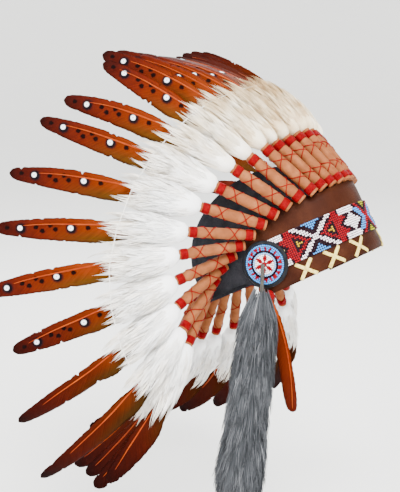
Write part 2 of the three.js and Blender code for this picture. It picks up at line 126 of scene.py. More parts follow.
def piece(name, shape, material, nodes=(), marks=None, uv=None):
    """Makes one Blender object from points in mm and lists of faces, and hides the imported parts it stands
    for.
    marks are named numbers or colours kept on the points; uv is one pair a point, in mm."""
    points, faces = shape
    sizes = np.concatenate([np.full(len(f), f.shape[1]) for f in faces])
    corners = np.concatenate([f.ravel() for f in faces])
    mesh = bpy.data.meshes.new(name)
    mesh.vertices.add(len(points))
    mesh.vertices.foreach_set("co", (points * MM).astype(np.float32).ravel())
    mesh.loops.add(len(corners))
    mesh.loops.foreach_set("vertex_index", corners.astype(np.int32))
    mesh.polygons.add(len(sizes))
    starts = np.concatenate([[0], np.cumsum(sizes)[:-1]])
    mesh.polygons.foreach_set("loop_start", starts.astype(np.int32))
    mesh.update(calc_edges=True)
    mesh.validate()
    mesh.polygons.foreach_set("use_smooth", np.ones(len(mesh.polygons), bool))
    for label, values in (marks or {}).items():
        values = np.asarray(values, np.float32)
        if values.ndim == 2:
            colour = np.column_stack([values, np.ones(len(values), np.float32)])
            kept_on = mesh.attributes.new(label, "FLOAT_COLOR", "POINT")
            kept_on.data.foreach_set("color", colour.ravel())
        else:
            kept_on = mesh.attributes.new(label, "FLOAT", "POINT")
            kept_on.data.foreach_set("value", values)
    if uv is not None:
        corners = np.empty(len(mesh.loops), np.int32)
        mesh.loops.foreach_get("vertex_index", corners)
        layer = mesh.uv_layers.new(name="millimetres")
        layer.data.foreach_set("uv", np.asarray(uv, np.float32)[corners].ravel())
    thing = bpy.data.objects.new(name, mesh)
    bpy.context.scene.collection.objects.link(thing)
    mesh.materials.append(material)
    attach(thing, "root")
    if nodes:
        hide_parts(*nodes)
    print(f"{name}: {len(points)} points, {int((sizes - 2).sum())} triangles")
    return thing


def unit(vectors):
    """Vectors of length one."""
    return vectors / np.maximum(np.linalg.norm(vectors, axis=-1, keepdims=True), 1e-9)


def turns(count, shift=0.0):
    """Evenly spaced angles once round, in radians, moved on by a share of a step."""
    return 2 * np.pi * (np.arange(count) + shift) / count


def disc(radius, turn):
    """Pairs of numbers at a radius and an angle; either may be an array."""
    return np.stack([radius * np.cos(turn), radius * np.sin(turn)], -1)


def tube(line, radius, out):
    """Rings of five points round a thread that follows a line; out points away at each place."""
    beside = np.cross(unit(np.gradient(line, axis=0)), out)
    turn = turns(5)[:, None]
    return line[:, None] + radius * (np.cos(turn) * out[:, None] + np.sin(turn) * beside[:, None])


rng = np.random.default_rng(7)
GOLDEN_ANGLE = 2.39996      # radians; steps of it spread evenly round a shaft without lining up

# %% [markdown]
# ## Materials
# Each finish is a small node tree. Colours are written as hex values and turned to linear light
# by one function. They are darker and stronger than the finish looks, because the soft bright
# light and the tone curve lift them.

# %% Node helpers
def hex_colour(text):
    """An sRGB hex colour as linear red, green, blue and alpha: the standard sRGB curve."""
    s = np.array([int(text[i:i + 2], 16) for i in (0, 2, 4)]) / 255
    return (*np.where(s > 0.04045, ((s + 0.055) / 1.055) ** 2.4, s / 12.92), 1.0)


def add(tree, kind, inputs=None, **settings):
    """Adds one node; an input is either a constant or an output socket to link from."""
    node = tree.nodes.new(kind)
    for key, value in settings.items():
        setattr(node, key, value)
    for key, value in (inputs or {}).items():
        if isinstance(value, bpy.types.NodeSocket):
            tree.links.new(value, node.inputs[key])
        else:
            node.inputs[key].default_value = value
    return node


def finish(name, **constants):
    """A new material with a Principled shader; returns the material, its tree and the shader."""
    material = bpy.data.materials.new(name)
    material.use_nodes = True
    tree = material.node_tree
    shader = tree.nodes["Principled BSDF"]
    for key, value in constants.items():
        shader.inputs[key.replace("_", " ")].default_value = value
    return material, tree, shader


def bands(tree, value, stops):
    """A colour ramp over a value, through (position, hex) stops."""
    ramp = add(tree, "ShaderNodeValToRGB", {"Fac": value})
    elements = ramp.color_ramp.elements
    while len(elements) < len(stops):
        elements.new(0.5)
    for element, (position, colour) in zip(elements, stops):
        element.position, element.color = position, hex_colour(colour)
    return ramp.outputs["Color"]


def combine(tree, operation, *values):
    """One step of arithmetic on numbers and sockets."""
    return add(tree, "ShaderNodeMath", dict(enumerate(values)), operation=operation).outputs[0]


def mapped(tree, value, source=(0.0, 1.0), target=(0.0, 1.0)):
    """A value carried from one range to another and held at its ends."""
    ends = dict(zip(("From Min", "From Max", "To Min", "To Max"), (*source, *target)))
    return add(tree, "ShaderNodeMapRange", {"Value": value, **ends}).outputs["Result"]


def kept(tree, label, kind="Fac"):
    """A number, or with kind Color a colour, that is kept on the mesh's points."""
    return add(tree, "ShaderNodeAttribute", attribute_name=label).outputs[kind]


def mixed(tree, factor, under, paint):
    """A hex colour laid over another colour as far as the factor says."""
    return add(tree, "ShaderNodeMix", {"Factor": factor, "A": under, "B": hex_colour(paint)},
               data_type="RGBA").outputs["Result"]


def grain(tree, size_mm, detail=4.0):
    """Noise in object space whose features are about size_mm across."""
    place = add(tree, "ShaderNodeTexCoord").outputs["Object"]
    return add(tree, "ShaderNodeTexNoise",
               {"Vector": place, "Scale": 1 / (size_mm * MM), "Detail": detail}).outputs["Fac"]


def tinted(tree, shader, value, stops):
    """Gives a finish its colour, by a ramp over a value."""
    tree.links.new(bands(tree, value, stops), shader.inputs["Base Color"])


def bump(tree, shader, height, depth_mm):
    """Raises the surface by height times depth_mm."""
    raised = add(tree, "ShaderNodeBump", {"Height": height, "Distance": depth_mm * MM, "Strength": 1.0})
    tree.links.new(raised.outputs["Normal"], shader.inputs["Normal"])


def mottled(name, cloud, stops, relief=None, **constants):
    """A plain finish: its colour drifts with one noise, and another raises it. cloud is the
    first one's size in mm and its detail; relief is the second one's, and its depth in mm."""
    material, tree, shader = finish(name, **constants)
    tinted(tree, shader, grain(tree, *cloud), stops)
    if relief:
        bump(tree, shader, grain(tree, *relief[:2]), relief[2])
    return material

# %% [markdown]
# Wool felt is a mat of crimped fibres with no weave: matt, a little furry at grazing angles.
# The fibres are drawn about 0.8 mm apart, coarser than real ones, so that they show.

# %% Felt, leathers, lacing
felt, tree, shader = finish("pressed_wool_felt", Roughness=0.95, Specular_IOR_Level=0.0)
fibre = grain(tree, 0.8, 8.0)
tinted(tree, shader, combine(tree, "MULTIPLY", fibre, grain(tree, 14)), [(0.1, "1b1b1e"), (0.4, "2f2f33")])
bump(tree, shader, fibre, 0.5)

# Vegetable-tanned leather, dyed brown and waxed: fine pores, soft mottling and a satin gloss.
band_leather = mottled(
    "waxed_brown_leather", (22, 3.0), [(0.3, "29120a"), (0.5, "31170d"), (0.72, "3c1f12")],
    (0.9, 6.0, 0.22), Roughness=0.45, Specular_IOR_Level=0.03)

# Split hide for the wraps: pale tan, drier and more uneven in colour than the band.
wrap_leather = mottled(
    "tan_split_leather", (9, 5.0), [(0.25, "6e3f23"), (0.5, "7e492a"), (0.75, "8e5835")],
    (1.1, 6.0, 0.3), Roughness=0.5, Specular_IOR_Level=0.03)

# Black chrome-tanned leather under the rosettes: smoother, cooler, with a low sheen.
disc_leather = mottled("black_smooth_leather", (6, 4.0), [(0.3, "0f1013"), (0.7, "1b1c20")],
                       (0.7, 6.0, 0.2), Roughness=0.45, Specular_IOR_Level=0.06)

# Flat rawhide lacing, cream yellow and slightly uneven.
lace_leather = mottled("cream_flat_lace", (2.5, 5.0), [(0.3, "b89a45"), (0.55, "dcc570"), (0.8, "ead994")],
                       (0.8, 4.0, 0.2), Roughness=0.6, Specular_IOR_Level=0.1)

# The thong over the fur: hide left grey and rough.
thong_leather = mottled("grey_hide_thong", (2, 4.0), [(0.3, "201e1b"), (0.7, "3d3a34")],
                        (0.8, 4.0, 0.3), Roughness=0.8)

# %% [markdown]
# Floss is untwisted silk or rayon thread, so it keeps a bright line of gloss. Bands of it are
# wound side by side; the windings are drawn 0.7 mm apart from a number kept on the points.

# %% Threads
WINDING = 0.7       # mm from one winding of floss to the next
red_floss, tree, shader = finish("red_floss", Roughness=0.35, Specular_IOR_Level=0.03)
ridge = combine(tree, "SINE", combine(tree, "MULTIPLY", kept(tree, "along_mm"), 2 * math.pi / WINDING))
tinted(tree, shader, grain(tree, 3), [(0.3, "620006"), (0.7, "7c0208")])
bump(tree, shader, ridge, 0.12)

thin_red = mottled("red_thread", (1.2, 4.0), [(0.3, "640204"), (0.7, "7c0406")],
                   Roughness=0.5, Specular_IOR_Level=0.02)
white_thread = mottled("white_cotton_thread", (1.2, 4.0), [(0.3, "d8d4cc"), (0.7, "f6f4ee")], Roughness=0.8)

# %% [markdown]
# Seed beads are short pieces of glass tube, tumbled until their edges are round. They are opaque
# but glossy, and no two are quite the same shade, so each bead carries its own colour.

# %% Beads and their backing
bead_glass, tree, shader = finish("opaque_seed_bead_glass", Roughness=0.25, Specular_IOR_Level=0.06)
dusty = mapped(tree, grain(tree, 0.6), target=(0.86, 1.1))
toned = add(tree, "ShaderNodeHueSaturation", {"Color": kept(tree, "bead_colour", "Color"), "Value": dusty})
tree.links.new(toned.outputs["Color"], shader.inputs["Base Color"])

backing_cloth = mottled("black_loom_cloth", (1.0, 4.0), [(0.3, "0d0508"), (0.7, "1b0a10")],
                        (0.8, 4.0, 0.3), Roughness=0.9)

# %% [markdown]
# Down is white because its barbs scatter light; it has no gloss. The front feathers are warmer,
# so the warmth of each feather is kept as a number. Fur hairs differ from lock to lock.

# %% Down and fur
down, tree, shader = finish("white_marabou_down", Roughness=0.9, Specular_IOR_Level=0.1)
patch = combine(tree, "MULTIPLY", kept(tree, "warmth"), grain(tree, 18))
tinted(tree, shader, patch, [(0.0, "ffffff"), (0.22, "f3e8d5"), (0.42, "dfcba8"), (0.7, "b99a70")])

fur_hair, tree, shader = finish("grey_long_fur", Roughness=0.6, Specular_IOR_Level=0.02)
tinted(tree, shader, kept(tree, "shade"),
       [(0.0, "202124"), (0.35, "3f4144"), (0.7, "5a5c60"), (1.0, "8a8c90")])

# %% [markdown]
# A dyed feather web is a comb of barbs that leave the shaft at about forty degrees. The pattern
# reads the piece's own map: across the feather from the shaft, and down from the tip, in mm.
# Dye takes darker at the tip, and the wide web turns ochre towards the fluff. Over it lie airbrushed
# black spots, two of them with a white disc and a grey centre. The webs towards the nape are also
# darkened all over: painted shade, for they hang low behind the cap.

# %% Vane with painted dots
SPOTS = dict(  # across and down from the tip, then radius, all in mm
    black=((0.8, 12.0, 1.7), (2.4, 41, 1.9), (6.6, 47, 1.9), (1.4, 55, 1.8), (5.4, 60, 1.9),
           (3.2, 92, 1.9)),
    white=((2.3, 25, 2.4), (4.0, 75, 2.6)))
DYE_RUN = 110       # mm from the tip over which the dye's colours run


def webbed(name, tip_stops, ochre=None, spots=False):
    """The vane finish: a colour ramp down from the tip, barbs as stripes that slope back from
    the shaft, ochre where the wide web nears the fluff, and painted spots on the front face."""
    material, tree, shader = finish(name, Roughness=0.5, Specular_IOR_Level=0.02)
    chart = add(tree, "ShaderNodeUVMap", uv_map="millimetres").outputs["UV"]
    across, down_mm, _ = add(tree, "ShaderNodeSeparateXYZ", {0: chart}).outputs
    level = combine(tree, "ADD", down_mm, mapped(tree, grain(tree, 16), target=(-14.0, 14.0)))
    colour = bands(tree, combine(tree, "MULTIPLY", level, 1 / DYE_RUN), tip_stops)
    slope = combine(tree, "MULTIPLY_ADD", combine(tree, "ABSOLUTE", across), 1.2, down_mm)
    comb = add(tree, "ShaderNodeCombineXYZ", {0: slope, 1: across}).outputs[0]
    comb = add(tree, "ShaderNodeMapping", {"Vector": comb, "Scale": (1.1, 0.06, 1)}).outputs["Vector"]
    barbs = add(tree, "ShaderNodeTexNoise", {"Vector": comb, "Scale": 1.0, "Detail": 3.0}).outputs["Fac"]
    streak = mapped(tree, barbs, (0.3, 0.7), (0.7, 1.25))
    if ochre:
        low, wide = mapped(tree, down_mm, (50.0, 100.0)), mapped(tree, across, (5.0, 14.0))
        colour = mixed(tree, combine(tree, "MULTIPLY", low, wide), colour, ochre)
    # the number kept as depth darkens the web: painted shade on the feathers towards the nape, with a little
    # random tone
    value = combine(tree, "MULTIPLY", streak, kept(tree, "depth"))
    colour = add(tree, "ShaderNodeHueSaturation", {"Color": colour, "Value": value}).outputs["Color"]
    front = kept(tree, "front")
    drops = add(tree, "ShaderNodeTexNoise", {"Vector": chart, "Scale": 0.45, "Detail": 2.0}).outputs["Color"]
    spread = add(tree, "ShaderNodeVectorMath", {0: drops, 1: (2.6, 2.6, 0), 2: (-1.3, -1.3, 0)},
                 operation="MULTIPLY_ADD").outputs["Vector"]
    ragged = add(tree, "ShaderNodeVectorMath", {0: chart, 1: spread}, operation="ADD").outputs["Vector"]

    def painted(under, spot, edge, paint, share=1.0, on=ragged):
        """One round of paint laid on the front face: full inside the radius, gone past the edge."""
        reach = add(tree, "ShaderNodeVectorMath", {0: on, 1: (*spot[:2], 0)}, operation="DISTANCE")
        cover = mapped(tree, reach.outputs["Value"], (spot[2], spot[2] + edge), (share, 0.0))
        return mixed(tree, combine(tree, "MULTIPLY", cover, front), under, paint)

    if spots:
        for spot in SPOTS["black"]:
            colour = painted(colour, spot, 1.0, "060202", 0.97)
        for x, y, radius in SPOTS["white"]:     # a black ground, a white disc, a grey centre
            colour = painted(colour, (x + 0.5, y + 0.9, radius + 1.7), 2.4, "08060b", 0.98)
            colour = painted(colour, (x, y, radius - 0.7), 1.2, "f8faff", 1.0, chart)
            colour = painted(colour, (x, y, 0.5), 0.7, "8a9cb4", 0.8, chart)
    tree.links.new(colour, shader.inputs["Base Color"])
    bump(tree, shader, barbs, 0.35)
    return material


vane_web = webbed(
    "dyed_feather_web",
    [(0.0, "1c0503"), (0.14, "310904"), (0.4, "481205"), (0.75, "561b04"), (1.0, "622404")],
    ochre="45290a", spots=True)
hackle_web = webbed(
    "dyed_hackle_web", [(0.0, "3a0d05"), (0.3, "481405"), (0.7, "5c1e04"), (1.0, "642404")])
quill = mottled("orange_quill_shaft", (12, 4.0), [(0.3, "742203"), (0.7, "8e3804")],
                Roughness=0.4, Specular_IOR_Level=0.08)

# %% [markdown]
# ## The head's ellipse
# The crown is modelled upright and then tipped back as a bonnet sits. An angle of 0 is the brow
# and positive angles go round to the wearer's right; side is 1 on the right and -1 on the left.

# %% Round the head
HEAD_PITCH = 27.8
WALL = np.array([80.5, 103.0])      # half width and half length of the band's outside, mm
RING = np.array([84.0, 106.5])      # of the ring of feather wraps
UP = np.array([0.0, 0.0, 1.0])
tilt = math.radians(HEAD_PITCH)
TIP_BACK = np.array([[1, 0, 0], [0, math.cos(tilt), math.sin(tilt)], [0, -math.sin(tilt), math.cos(tilt)]])


def smooth_step(value, low, high):
    """0 before low, 1 after high, and a cubic ease between them."""
    t = np.clip((value - low) / (high - low), 0, 1)
    return t * t * (3 - 2 * t)


def seated(points):
    """Turns upright crown points about X to the angle at which the bonnet is worn."""
    return points @ TIP_BACK.T


def on_head(half, angle, height, side=1):
    """Points on an upright ellipse: x = -a sin, y = -b cos, at a height."""
    t = np.radians(angle)
    x, y, z = np.broadcast_arrays(-side * half[0] * np.sin(t), -half[1] * np.cos(t), height)
    return np.stack([x, y, z], -1).astype(float)


def outward(half, angle, side=1):
    """The ellipse's outward unit normal at an angle."""
    t = np.radians(np.asarray(angle, float))
    return unit(np.stack([-side * np.sin(t) / half[0], -np.cos(t) / half[1], np.zeros_like(t)], -1))


def along_head(half, length):
    """The angle at which the arc from the brow has a given length, read off a fine table."""
    table = np.linspace(0, 180, 1441)
    spots = on_head(half, table, 0)
    arc = np.concatenate([[0], np.cumsum(np.linalg.norm(np.diff(spots, axis=0), axis=1))])
    return np.interp(length, arc, table)

# %% [markdown]
# ## Felt cap
# A blocked felt cap is one skin, folded back on itself at the rim. The profile runs from the
# middle of the crown inside, down the inner wall, round the rim and up the outside; the rim
# rises behind the temples. A slow wave keeps it from looking turned on a lathe.

# %% Felt cap
CAP = dict(inset=2.9, thickness=2.6, shoulder=44.0, top=126.0, edge_front=3.0, edge_back=22.0)
around = np.linspace(0, 360, 97)[:-1]
round_side = np.minimum(around, 360 - around)
rim = CAP["edge_front"] + (CAP["edge_back"] - CAP["edge_front"]) * smooth_step(round_side, 80, 100)


def cap_skin(inset, drop):
    """One skin of the cap: an upright wall from the rim to the shoulder, then an elliptical dome."""
    wall = np.linspace(0, 1, 7)[:-1, None]
    dome = np.radians(np.linspace(0, 88, 20))[:, None]
    over = CAP["shoulder"] + (CAP["top"] - drop - CAP["shoulder"]) * np.sin(dome)
    heights = np.vstack([rim + (CAP["shoulder"] - rim) * wall,
                         np.broadcast_to(over, (len(dome), len(rim)))])
    scale = np.concatenate([np.ones_like(wall), np.cos(dome)])
    wave = 0.5 * np.sin(np.radians(3 * around) + heights / 19)
    spots = on_head(WALL - inset, around, heights)
    spots[..., :2] *= (scale + wave / 95 * (heights > 4))[..., None]
    return spots


inner, outer = cap_skin(CAP["inset"] + CAP["thickness"], CAP["thickness"]), cap_skin(CAP["inset"], 0)
rim_turn = (inner[0] + outer[0]) / 2 - np.array([0, 0, 1.1])
shell = np.concatenate([inner[::-1], rim_turn[None], outer])
piece("felt_cap", lofted(seated(shell)), felt, ["crown_cap"])

# %% [markdown]
# ## Brow band
# A strap cut from thick leather. Its section is a flat loop with eased corners, carried round
# the head. Over the brow its top edge stays under the wraps, and it climbs behind the side ones,
# so the table of the feathers, from the brow to the nape, comes before it.

# %% Brow band
FEATHERS = np.array([  # angle, height of the lower binding, lean, splay, bend, length, twist; degrees, mm
    (0, 80.3, 17, 0, 41, 250, 0), (9.9, 80.1, 17.5, 4, 40, 248, 13), (19.6, 80, 18, 8, 37, 254, 13),
    (29, 79.8, 18.8, 11.5, 32, 256, 13), (38.1, 78.7, 19.3, 14, 28, 254, 13),
    (46.9, 76.7, 21.7, 16.5, 17, 236, 13), (55.4, 74.9, 25.4, 20, 30, 247, 13),
    (63.6, 71.5, 33.8, 25, 15, 248, 10), (71.5, 67.2, 43.2, 31, 17, 253, 10),
    (79.3, 62, 57.1, 37, 8, 249, 10), (87, 56.7, 70.8, 41.5, 8, 256, 14),
    (95.1, 50.7, 90.9, 44, -3, 234, 26), (103.8, 44, 113.5, 44.5, -17, 252, 48),
    (112.8, 35.5, 135, 42.5, -35, 263, 52), (121.1, 29, 148, 38, -31, 218, 36),
    (129.2, 27, 147, 32, -40, 228, 26), (137.6, 27, 142, 26, -42, 224, 20),
    (146.4, 27.4, 136, 20, -42, 230, 16), (155.5, 27.8, 131, 13, -40, 226, 14),
    (164.6, 28, 128, 7, -38, 230, 14), (173.6, 28.2, 126, 2, -38, 228, 14)])
ANGLE, BINDING, LEAN, SPLAY, BEND, LENGTH, TWIST = FEATHERS.T
BAND = dict(thickness=2.6, end=86, below_wraps=6.8, climb=7.8, climb_from=36, climb_to=47)


def strap(half, thickness, angle, low, high, rows=10):
    """A strap round the head: a loop up the outside and down the inside, corners eased by 0.8 mm.
    low is one height and high a height for each angle."""
    share = np.linspace(0, 1, rows)
    ease = outward(half, angle)[:, None] * 0.8 * np.abs(2 * share[:, None] - 1) ** 12
    up = low + (high - low)[:, None] * share
    outside = on_head(half, angle[:, None], up) - ease
    inside = on_head(half - thickness, angle[:, None], up) + ease
    return np.concatenate([outside, inside[:, ::-1]], 1)


def band_top(angle):
    """The band's top edge: a set distance under the bindings, then climbing behind them."""
    binding = np.interp(np.abs(angle), ANGLE, BINDING)
    return binding - BAND["below_wraps"] + BAND["climb"] * smooth_step(
        np.abs(angle), BAND["climb_from"], BAND["climb_to"])


angle = np.linspace(-BAND["end"], BAND["end"], 150)
band = strap(WALL, BAND["thickness"], angle, 0.0, band_top(angle))
piece("leather_brow_band", lofted(seated(band)), band_leather, ["brow_band"])

# %% [markdown]
# ## Beaded strip
# Loom beadwork is a grid, so the pattern can be charted by rule. Rows are counted from the
# strip's middle line and columns from the brow. Everything mirrors about the middle of the white
# cross: a red triangle with a yellow heart, a red bar with two prongs, and a white lozenge.

# %% Chart of the beads
STRIP = dict(low=18.0, high=49.9, end=74.0, thickness=1.2, rows=15, columns=55)
BEAD_COLOURS = dict(dark="1c0711", white="f6eaee", red="860312", blue="3f86cc", yellow="b39006",
                    lime="8c8a08", cream="d2c588", pale="7fb2e2")
GLASS = {name: np.array(hex_colour(code)[:3]) for name, code in BEAD_COLOURS.items()}
CROSS_AT, BAR_AT, LOZENGE_AT = 33, 11, 21


def chart(column, row):
    """The colour name of each bead, from its column (0 at the brow) and row (0 in the middle)."""
    q, r, c = np.abs(column - CROSS_AT), np.abs(row), np.abs(column)
    name = np.full(np.broadcast(q, r).shape, "dark", dtype="<U6")
    q, r, c = (np.broadcast_to(v, name.shape) for v in (q, r, c))
    far = np.broadcast_to(column, name.shape) > CROSS_AT
    name[(r >= 4) & (q <= (r - 3.5) * 1.15)] = "blue"
    name[np.abs(r - 0.78 * q) <= 1.2] = "white"
    wedge = 0.7 * (q - 2.6)
    name[(r <= wedge) & (q < BAR_AT)] = "red"
    name[(r <= wedge - 1.7) & (q < BAR_AT)] = "dark"
    name[((r == 0) & ((q == 7) | (q == 8))) | ((r <= 1) & (q == 9))] = "yellow"
    name[(q >= BAR_AT) & (q <= BAR_AT + 2)] = "red"
    name[(q > BAR_AT + 2) & (q <= BAR_AT + 6) & (np.abs(r - 3.3) <= 0.7 * (BAR_AT + 6.5 - q))] = "red"
    lozenge = r <= 4.2 - 0.8 * np.abs(q - LOZENGE_AT)
    name[lozenge | ((q == LOZENGE_AT) & (r == 4))] = "white"
    name[(r >= 5) & (q >= BAR_AT + 4) & (q <= BAR_AT + 14 - (r - 5))] = "white"
    near = c < 11
    name[near & (r <= 5) & (np.abs(c - 2.9 - 0.9 * r) <= 1.6)] = "blue"
    name[near & (np.abs(c - 0.95 * r) <= 1.1)] = "red"
    name[near & (c <= (r - 3.4) * 0.95 - 1.1)] = "lime"
    name[far & lozenge] = "cream"
    return name


rows = np.arange(STRIP["rows"]) - STRIP["rows"] // 2
columns = np.arange(-STRIP["columns"], STRIP["columns"] + 1)
colours = chart(np.abs(columns)[:, None], rows[None, :])
print("the chart, brow to temple:")
for row in rows[::2]:
    print("".join(name[0] if name != "dark" else "." for name in colours[STRIP["columns"]:, row + 7]))

# %% Beads on the strip
BEAD = dict(pitch=2.13, length=1.66, radius=0.95)


def bead_shape(sides=6):
    """A rounded bead: its outline bulges from the hole to the full radius and back, spun round z."""
    half = BEAD["length"] / 2
    profile = np.array([(0.5, -half), (0.9, -0.62 * half), (0.9, 0.62 * half), (0.5, half)])
    ring = disc(1, turns(sides, 0.5))
    return lofted(np.concatenate([profile[:, None, :1] * ring * BEAD["radius"] / 0.9,
                                  np.broadcast_to(profile[:, None, 1:], (4, sides, 1))], -1))


def beaded(name, centres, axes, names, nodes):
    """Threads a bead on every centre, each a touch out of true and with its own shade."""
    points, faces = bead_shape()
    count = len(points)
    centres = centres + rng.normal(0, 0.05, centres.shape)
    shape = placed(points, faces, centres, axes)
    glass = np.stack([GLASS[n] for n in names]) * rng.uniform(0.86, 1.08, (len(names), 1))
    piece(name, shape, bead_glass, nodes, {"bead_colour": np.repeat(glass, count, 0)})


strip_half = WALL + 0.3 + STRIP["thickness"]
angle = np.linspace(-STRIP["end"], STRIP["end"], 120)
backing = strap(strip_half, STRIP["thickness"], angle, STRIP["low"], np.full(len(angle), STRIP["high"]), 6)
piece("strip_backing", lofted(seated(backing)), backing_cloth, ["bead_strip"])
column_arc = np.abs(columns) * BEAD["pitch"]
angle = along_head(strip_half, column_arc) * np.sign(columns)
middle = (STRIP["low"] + STRIP["high"]) / 2
angle, height = (v.ravel() for v in np.meshgrid(angle, middle + rows * BEAD["pitch"], indexing="ij"))
normal = outward(strip_half, angle)
centres = seated(on_head(strip_half, angle, height) + 0.35 * normal)
axes = [seated(v) for v in (normal, np.cross(UP, normal), np.broadcast_to(UP, normal.shape))]
beaded("strip_beads", centres, axes, colours.ravel(), ["bead_strip"])

# %% [markdown]
# ## Lacing crosses
# Two flat laces cross under the strip, three times on each side. A lace is a thin strap with
# a soft cushion to its section; the upper one rises over the lower where they meet, and both
# dive into the leather at their ends.

# %% Lacing
CROSS = dict(height=8.7, along=(29.4, 59.7, 90.0), width=19.0, tall=16.0, lace=3.5)


def lace(centre_arc, side, lean, lift):
    """One lace: a straight run from corner to corner, lifted in the middle, ends tucked in."""
    share = np.linspace(-1, 1, 25)
    x = lean * share * (CROSS["width"] / 2 - 0.8)
    z = share * (CROSS["tall"] / 2 + 0.4)
    rise = 0.55 + lift * np.exp(-(share * 3.2) ** 2) - 1.1 * np.clip(np.abs(share) - 0.86, 0, 1) / 0.14
    slope = unit(np.array([CROSS["width"] * lean, CROSS["tall"]]))
    spin = turns(12)
    flat = CROSS["lace"] / 2 * np.sign(np.cos(spin)) * np.abs(np.cos(spin)) ** 0.6
    thick = 0.5 * np.sin(spin)
    arc = centre_arc + x[:, None] + flat * slope[1]
    high = CROSS["height"] + z[:, None] - flat * slope[0]
    around = along_head(WALL, arc)
    stand = (rise[:, None] + thick)[..., None]
    return on_head(WALL, around, high, side) + outward(WALL, around, side) * stand


laces = [lace(arc, side, lean, lift) for side in (1, -1) for arc in CROSS["along"]
         for lean, lift in ((1, 0.0), (-1, 0.9))]
cross_nodes = [f"lace_cross_{word}_{i}" for word in ("right", "left") for i in (1, 2, 3)]
for word, half in (("right", laces[:6]), ("left", laces[6:])):
    piece(f"lacing_{word}", lofted(seated(np.stack(half))), lace_leather,
          [n for n in cross_nodes if word in n])

# %% [markdown]
# ## Temple rosettes
# A rosette is sewn in rings on a leather disc, from the middle outward. An outer ring has as many
# beads as fit its length and an inner one a multiple of six, so the pattern is a matter of which
# share of a turn a bead lies in:
# nineteen red marks in the outer rings, six thin red petals within the white ones.

# %% Rosettes
ROSETTE = dict(angle=78.9, height=29.3, leather=23.6, beads=19.6, lift=2.4, thickness=1.9)
RED_MARKS, PETALS = 19, 6


def over_rosette(u, v, rise, side):
    """A point over a temple: u ahead, v up, both measured on the leather, which bends with the
    head so that the surface drops by u squared over twice its radius."""
    middle = on_head(WALL, ROSETTE["angle"], ROSETTE["height"], side)
    normal = outward(WALL, ROSETTE["angle"], side)
    ahead = np.cross(UP, normal)
    bend = 2 * (WALL[1] / WALL[0]) * math.sqrt(WALL[0] * WALL[1])
    u, v, rise = np.broadcast_arrays(u, v, rise)
    return (middle + ahead * u[..., None] + UP * v[..., None]
            + normal * (rise - u ** 2 / bend)[..., None])


def ring_beads(side):
    """Centres, axes and colour names of every bead of one rosette, ring by ring."""
    centres, normals, names, tangents = [], [], [], []
    pitch = 1.93
    for index in range(10):
        radius = ROSETTE["beads"] - 0.9 - index * pitch
        count = round(2 * math.pi * radius / pitch) if index < 5 else PETALS * (10 - index)
        spin = turns(count, 0.5 * (index in (1, 3, 6, 7)))
        u, v = radius * np.cos(spin), radius * np.sin(spin)
        centres.append(over_rosette(u, v, ROSETTE["lift"] + ROSETTE["thickness"] + 0.8, side))
        ahead = over_rosette(u + 0.1 * -np.sin(spin), v + 0.1 * np.cos(spin), 6.0, side)
        tangents.append(unit(ahead - over_rosette(u, v, 6.0, side)))
        normals.append(np.broadcast_to(outward(WALL, ROSETTE["angle"], side), (count, 3)))
        share = (spin / (2 * np.pi) * RED_MARKS) % 1
        petal = np.abs((spin / (2 * np.pi) * PETALS + 0.5) % 1 - 0.5)
        if index in (1, 2):
            name = np.where(share < 0.5, "red", "blue")
        elif index in (0, 3, 4):
            name = np.full(count, ("blue", "", "", "dark", "pale")[index])
        else:
            name = np.where(petal < (0.04, 0.2, 0.2, 0.04, 0.04)[index - 5], "red", "white")
        names.append(name)
    normals, tangents = np.concatenate(normals), np.concatenate(tangents)
    return np.concatenate(centres), normals, tangents, np.concatenate(names)


spin = turns(48)
edge = np.array([  # the leather's section: shares of its radius and of its thickness
    (0.0, 0.0), (0.7, 0.0), (0.94, 0.05), (1.0, 0.5), (0.96, 0.85), (0.85, 1.0), (0.4, 1.0), (0.02, 1.0)])
for word, side in (("right", 1), ("left", -1)):
    radius = edge[:, 0, None] * ROSETTE["leather"] * (1 + 0.006 * np.sin(5 * spin))
    leather = over_rosette(radius * np.cos(spin), radius * np.sin(spin),
                           ROSETTE["lift"] - 0.4 + edge[:, 1, None] * 2.2, side)
    piece(f"rosette_leather_{word}", lofted(seated(leather)), disc_leather,
          [f"rosette_disc_{word}"])
    centres, normals, tangents, names = ring_beads(side)
    axes = [seated(v) for v in (normals, np.cross(tangents, normals), tangents)]
    beaded(f"rosette_beadwork_{word}", seated(centres), axes, names, [f"rosette_beads_{word}"])

# %% [markdown]
# ## The feathers' lines
# Every feather follows one line: straight inside its wrap, then bending at a steady rate. The
# line is found by adding up short steps along its heading, and each point of it has a face
# turned away from the head and a direction across.

# %% Spines
WRAP = dict(length=55.2, stub=6.2, radius=6.1)
STAND = dict(brow=-6.5, side=3.1, start=24, stop=44, band_end=90)
SPLAY_KEPT, STEP = 0.5, 2.0


def heading(k, side, s):
    """Unit heading at lengths s: leaned back from upright, then splayed outward."""
    free = np.maximum(0, s - WRAP["length"]) / (LENGTH[k] - WRAP["length"])
    lean = np.radians(LEAN[k] + BEND[k] * free)
    splay = np.radians(SPLAY[k] * (1 + (SPLAY_KEPT - 1) * free))
    return np.stack([-side * np.sin(splay), np.sin(lean) * np.cos(splay), np.cos(lean) * np.cos(splay)], -1)


